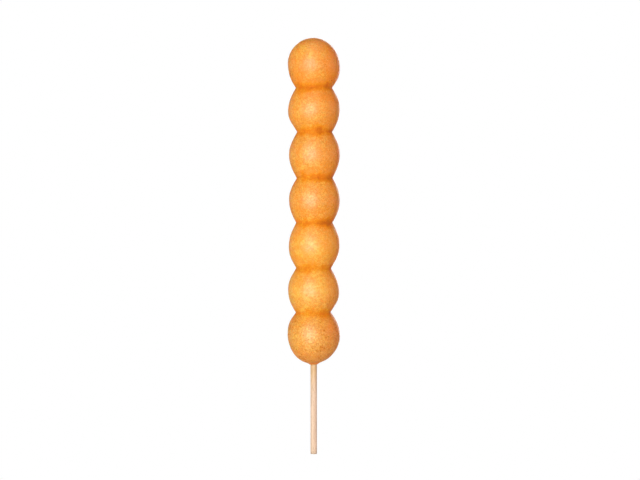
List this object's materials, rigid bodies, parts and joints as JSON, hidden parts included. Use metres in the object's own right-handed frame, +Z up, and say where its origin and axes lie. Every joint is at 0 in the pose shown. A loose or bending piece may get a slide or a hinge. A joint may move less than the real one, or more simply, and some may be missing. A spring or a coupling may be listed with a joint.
{
  "type": "waffle on a stick",
  "caption": "Golden baked waffle of round beads in a row, with a sharp crease between beads, on a round wooden skewer whose bare end is the handle.",
  "frame": {"origin": "middle of the stick's flat butt end, the end that is held", "axes": "+Z up along the stick, from its butt end towards the waffle's crown; -Y towards whoever looks at it as pictured; the waffle is round about Z"},
  "size_m": [0.0322, 0.0322, 0.255],
  "materials": {
    "skewer_wood": "matte",
    "golden_crust": "matte",
    "pale_crumb": "matte"
  },
  "bodies": {
    "skewer": {"stick": "skewer_wood"},
    "waffle": {"crust": "golden_crust", "crumb": "pale_crumb"}
  },
  "joints": [
    {"name": "waffle_pull", "type": "slide", "parent": "skewer", "child": "waffle", "axis": [0, 0, 1], "range_m": [0, 0.2]}
  ]
}
